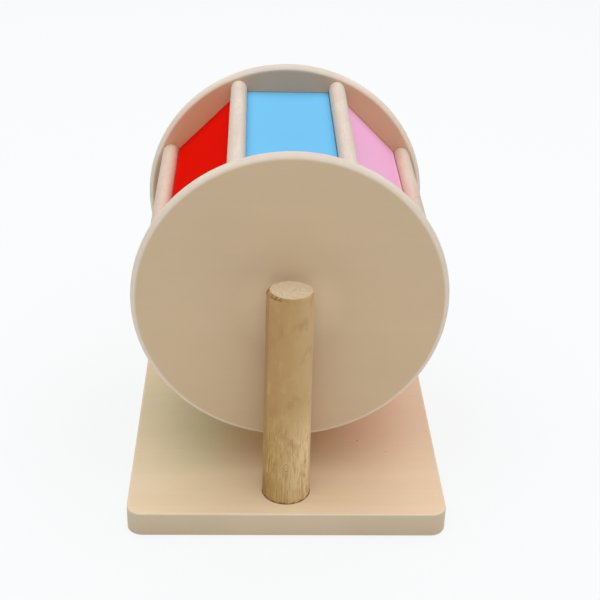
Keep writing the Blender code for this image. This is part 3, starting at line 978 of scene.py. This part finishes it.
def make_post(name, node, side, material, shift, slope, saw_angle, rough_angle):
    """A tapered post: its top sawn lower at one angle, and its arris worn and chipped at another.

    The shift is how far to the left the post stands at its foot and at its top.
    """
    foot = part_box(node)[0].z
    centre = Vector((0, side * POST_CENTRE, 0))
    arris = POST_TOP - ARRIS_DEPTH
    saw_angle, rough_angle = math.radians(saw_angle), math.radians(rough_angle)

    def shape_point(angle, share, place):
        around = Vector((math.cos(angle), math.sin(angle), side))
        coarse = capped((UNEVEN_TOP - place) / UNEVEN_FADE)
        uneven = SIDE_UNEVEN * coarse * noise.noise(around * 16 + Vector((0, 0, place * 40)))
        chip = noise.noise(around * 7) + 0.5 * noise.noise(around * 19)
        worn = max(math.cos(angle - rough_angle), 0.0) ** 1.5
        reached = capped((place - arris) / (POST_TOP - arris)) ** 1.6
        lost = (ARRIS_LOSS + CHIP_DEPTH * max(chip, 0.0) + WORN_DEPTH * worn) * reached
        radius = share * (post_radius(place) + uneven - lost)
        if place == POST_TOP:
            place += TOP_UNEVEN * noise.noise(around * radius * 900)
        tilted = capped((place - POST_TOP + SAW_REACH) / SAW_REACH)
        return radius, place - tilted * (SAW_DROP + slope * radius * math.cos(angle - saw_angle))

    profile = post_profile(foot, arris)
    post = put(name, turned(name, profile, POST_SEGMENTS, centre, "Z", shape_point=shape_point))
    level_top = POST_TOP - 0.00006

    def level(point):
        angle = math.atan2(point.y - centre.y, point.x)
        away = math.hypot(point.x, point.y - centre.y)
        return angle, point.z + SAW_DROP + slope * away * math.cos(angle - saw_angle)

    def arris_share(point):
        angle, height = level(point)
        rough = capped(1.6 * math.cos(angle - rough_angle) - 0.3)
        return rough if arris + 0.0002 < height < level_top else 0.0

    def end_share(point):
        angle, height = level(point)
        return float(height > level_top or point.z < foot + 0.0002)

    mark(post, "edge", arris_share)
    mark(post, "end", end_share)
    for vertex in post.data.vertices:
        vertex.co.x -= shift[0] + (shift[1] - shift[0]) * vertex.co.z / POST_TOP
    inner = side * (POST_CENTRE - post_radius(AXLE_HEIGHT))
    ends = sorted((inner - side * CUTTER_REACH, inner + side * AXLE_SEAT))
    axle_hole = rod_cutter(AXLE_RADIUS + HAIRLINE, *ends, DRUM_CENTRE)
    screw_top = foot + SCREW_IN_POST + 0.0005
    screw_hole = rod_cutter(SCREW_RADIUS + HAIRLINE, foot - CUTTER_REACH, screw_top, centre, "Z")
    smooth(cut(post, [axle_hole, screw_hole]), 50)
    cover(post, material)
    finish(post, "stand", "post_wood", node)


def make_axle(material):
    """The steel axle through the drum, with chamfered ends."""
    low, high = (corner.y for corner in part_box("axle"))
    tip = AXLE_RADIUS - AXLE_CHAMFER
    profile = [(0, low), (tip, low), (AXLE_RADIUS, low + AXLE_CHAMFER)]
    profile += [(AXLE_RADIUS, high - AXLE_CHAMFER), (tip, high), (0, high)]
    axle = smooth(put("axle_rod", turned("axle_rod", profile, ROD_SEGMENTS, DRUM_CENTRE), material))
    finish(axle, "stand", "steel", "axle")


def make_spacer(name, node, material):
    """A ring on the axle that keeps a disc off its post."""
    low, high = (corner.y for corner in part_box(node))
    bore = AXLE_RADIUS + HAIRLINE
    profile = [(bore, low + SPACER_BORE_EDGE), (bore + SPACER_BORE_EDGE, low)]
    profile += rounded(half_sizes(node)[0], low, high, SPACER_EDGE, 3)
    profile += [(bore + SPACER_BORE_EDGE, high), (bore, high - SPACER_BORE_EDGE)]
    ring = smooth(put(name, turned(name, profile, ROD_SEGMENTS, DRUM_CENTRE, ring=True), material))
    finish(ring, "stand", "spacer_wood", node)


def screw_pair_tree(sizes):
    """Geometry tree: threaded screws with a cross slot, driven upwards at two places."""
    results = {"Geometry": "Geometry"}
    wiring, given, result = new_tree("pair of screws", sizes, results, "GeometryNodeTree")
    head, height = given["Head Radius"], given["Head Height"]
    core, length = given["Core Radius"], given["Length"]

    # Places and radii from the flat of the head up to the tip
    neck = wiring.plus(core, 0.0003)
    shank = wiring.minus(length, given["Tip Length"])
    outline = [
        (0.0, wiring.minus(head, given["Head Edge"])),
        (0.0002, wiring.minus(head, 0.0002)),
        (given["Head Edge"], head),
        (height, head),
        (wiring.plus(height, 0.00001), neck),
        (wiring.plus(height, 0.0004), core),
        (shank, core),
        (wiring.minus(length, 0.0003), 0.0003),
        (length, 0.00005),
    ]
    values = {"Mesh 1": rod(wiring, outline, 2, given["Sides"])}
    slotted = wiring.node("GeometryNodeMeshBoolean", values, operation="DIFFERENCE", solver="EXACT")
    long, wide, deep = given["Slot Length"], given["Slot Width"], wiring.times(given["Slot Depth"], 2.0)
    for size in ((long, wide, deep), (wide, long, deep)):
        cube = wiring.out("GeometryNodeMeshCube", {"Size": wiring.point(*size)})
        wiring.tree.links.new(cube, slotted.inputs["Mesh 2"])

    run = wiring.minus(wiring.minus(shank, height), 0.0015)
    values = {"Resolution": 24, "Rotations": given["Turns"], "Height": run, "Start Radius": core}
    helix = wiring.out("GeometryNodeCurveSpiral", {**values, "End Radius": core})
    lift = wiring.point(z=wiring.plus(height, 0.001))
    helix = wiring.out("GeometryNodeTransform", {"Geometry": helix, "Translation": lift})
    screw = wiring.node("GeometryNodeJoinGeometry", {"Geometry": slotted.outputs[0]})
    wiring.tree.links.new(swept(wiring, helix, given["Thread Radius"], 4), screw.inputs[0])

    side = wiring.times(wiring.minus(wiring.out("GeometryNodeInputIndex"), 0.5), given["Spacing"])
    pair = copies(wiring, screw.outputs[0], 2, wiring.point(0.0, side, given["Underside"]))
    return end_tree(wiring, given, result, pair)


def make_screws(material):
    """The two screws that hold the posts from below."""
    low, high = (corner.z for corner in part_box("front_post_screw"))
    sizes = {
        "Spacing": 2 * POST_CENTRE,
        "Underside": low,
        "Length": high - low,
        "Head Radius": SCREW_HEAD_RADIUS,
        "Head Height": SCREW_HEAD_HEIGHT,
        "Head Edge": 0.0006,
        "Tip Length": 0.005,
        "Core Radius": 0.00155,
        "Thread Radius": 0.00045,
        "Turns": 14.0,
        "Slot Length": 0.0042,
        "Slot Width": 0.0011,
        "Slot Depth": 0.0014,
        "Sides": ROD_SEGMENTS,
        "Material": material,
    }
    pair = grown("post_screws", screw_pair_tree(sizes), sizes)
    finish(pair, "stand", "steel", "front_post_screw", "rear_post_screw")


# The studio


def part_views(wiring, output, lighting, seen):
    """End in two shaders: one for lighting, and one that the camera sees, also by a mirror or glass."""
    path = wiring.node("ShaderNodeLightPath").outputs
    share = wiring.plus(path["Is Camera Ray"], path["Is Glossy Ray"])
    share = wiring.plus(share, path["Is Transmission Ray"], clamp=True)
    mixed = wiring.out("ShaderNodeMixShader", {0: share, 1: lighting, 2: seen})
    wiring.node(output, {"Surface": mixed})


def make_floor():
    """A plain pale floor: it takes the object's shadow, and the camera sees it near white."""
    shape = bmesh.new()
    below = Matrix.Translation((0, 0, -HAIRLINE))
    bmesh.ops.create_circle(shape, cap_ends=True, segments=64, radius=FLOOR_RADIUS, matrix=below)
    material = bpy.data.materials.new("studio floor")
    wiring = Wiring(emptied(material))
    lit = wiring.out("ShaderNodeBsdfDiffuse", {"Color": FLOOR_LIT})
    shadowed = wiring.out("ShaderNodeBsdfDiffuse", {"Color": FLOOR_SHADOWED})
    away = wiring.length(wiring.node("ShaderNodeTexCoord").outputs["Object"])
    level = wiring.spread(away, *GLOW_REACH, *GLOW_LEVELS)
    glow = wiring.out("ShaderNodeEmission", {"Color": linear(BACKGROUND), "Strength": level})
    seen = wiring.out("ShaderNodeAddShader", {0: shadowed, 1: glow})
    part_views(wiring, "ShaderNodeOutputMaterial", lit, seen)
    put("floor", mesh_of("floor", shape), material)


def make_light():
    """Soft even light from all round, and a very wide soft lamp overhead."""
    world = bpy.data.worlds.new("studio")
    wiring = Wiring(emptied(world))
    air = wiring.out("ShaderNodeBackground", {"Color": (1, 1, 1, 1), "Strength": SKY_LEVEL})
    seen = wiring.out("ShaderNodeBackground", {"Color": linear(BACKGROUND)})
    part_views(wiring, "ShaderNodeOutputWorld", air, seen)
    bpy.context.scene.world = world
    lamp = bpy.data.lights.new("overhead lamp", "AREA")
    lamp.shape = "DISK"
    lamp.size = LAMP_WIDTH
    lamp.energy = LAMP_POWER
    put("overhead lamp", lamp).location = LAMP_PLACE


def make_camera():
    """The camera, looking down on the front of the drum from a little to the left."""
    camera = bpy.data.cameras.new("camera")
    camera.lens = LENS
    camera.sensor_fit = "HORIZONTAL"
    camera.clip_end = 100.0
    turns = ((CAMERA_YAW, "Z"), (90 - CAMERA_DIP, "X"), (CAMERA_ROLL, "Z"))
    yaw, dip, roll = (Matrix.Rotation(math.radians(angle), 4, axis) for angle, axis in turns)
    holder = put("camera", camera)
    holder.matrix_world = Matrix.Translation(CAMERA_PLACE) @ (yaw @ dip) @ roll
    bpy.context.scene.camera = holder


def main():
    """Build every piece, the light, the floor and the camera."""
    along_x, along_y = (0.05, 1.0, 1.0), (1.0, 0.1, 1.0)
    board_wood = pale_wood(
        # A lighter edge colour, partly sanding and partly a painted highlight along the arris
        "board wood", along_x, light=(237, 212, 179), dark=(233, 207, 173), rim=(240, 219, 190),
        # Painted shade on the board's sides
        painted_light_tints=[("side", (0.85, 0.85, 0.84), (0.80, 0.82, 0.81))],
        spots=[
            ((0.0439, -0.0429, BOARD_THICKNESS), 0.0006, 0.9),
            ((0.0604, -0.0540, BOARD_THICKNESS), 0.0006, 0.5),
        ],
    )
    disc_wood = pale_wood(
        # A lighter rim colour, partly sanding and partly a painted highlight
        "disc wood", along_x, light=(220, 194, 158), dark=(218, 191, 155), rim=(240, 226, 208), fleck=0.04,
        # Painted light: the discs' wood is lighter round the axle, making up for the shade that the post
        # throws on the disc.
        painted_light_rounds=[(DRUM_CENTRE, 0.014, 0.034, (1.14, 1.19, 1.24))],
        painted_light_tints=[
            # Painted shade on the discs' inner faces, with the colour that the panels throw on them,
            # purplish in the middle and warmer at the sides
            ("inside", (0.91, 0.82, 0.88), (0.94, 0.82, 0.76)),
            # Painted shade and sheen on the rim, darker at the disc's top and bottom than at its sides
            ("rim", (0.77, 0.735, 0.77), (0.90, 0.92, 0.91)),
        ],
    )
    spacer_wood = pale_wood(
        "spacer wood", along_y, light=(214, 190, 156), dark=(198, 170, 134), rim=(222, 202, 172),
        band=0.003, fibre=0.0004,
    )
    wood_of_posts = post_wood()
    steel = drawn_steel()
    make_board(board_wood)
    make_post("front_upright", "front_post", -1, wood_of_posts, FRONT_POST_SHIFT, 0.085, 90, 195)
    make_post("rear_upright", "rear_post", 1, wood_of_posts, (0, 0), 0.03, 300, 40)
    make_axle(steel)
    make_spacer("front_ring", "front_spacer", spacer_wood)
    make_spacer("rear_ring", "rear_spacer", spacer_wood)
    make_screws(steel)
    make_disc("front_end", "front_disc", -1, disc_wood)
    make_disc("rear_end", "rear_disc", 1, disc_wood)
    make_bars()
    for number, (label, colour) in enumerate(PAINTS.items()):
        make_panel(label, math.tau * number / PANEL_COUNT, panel_paint(label, colour))
    make_floor()
    make_light()
    make_camera()
    bpy.context.scene.view_settings.view_transform = "Standard"


main()
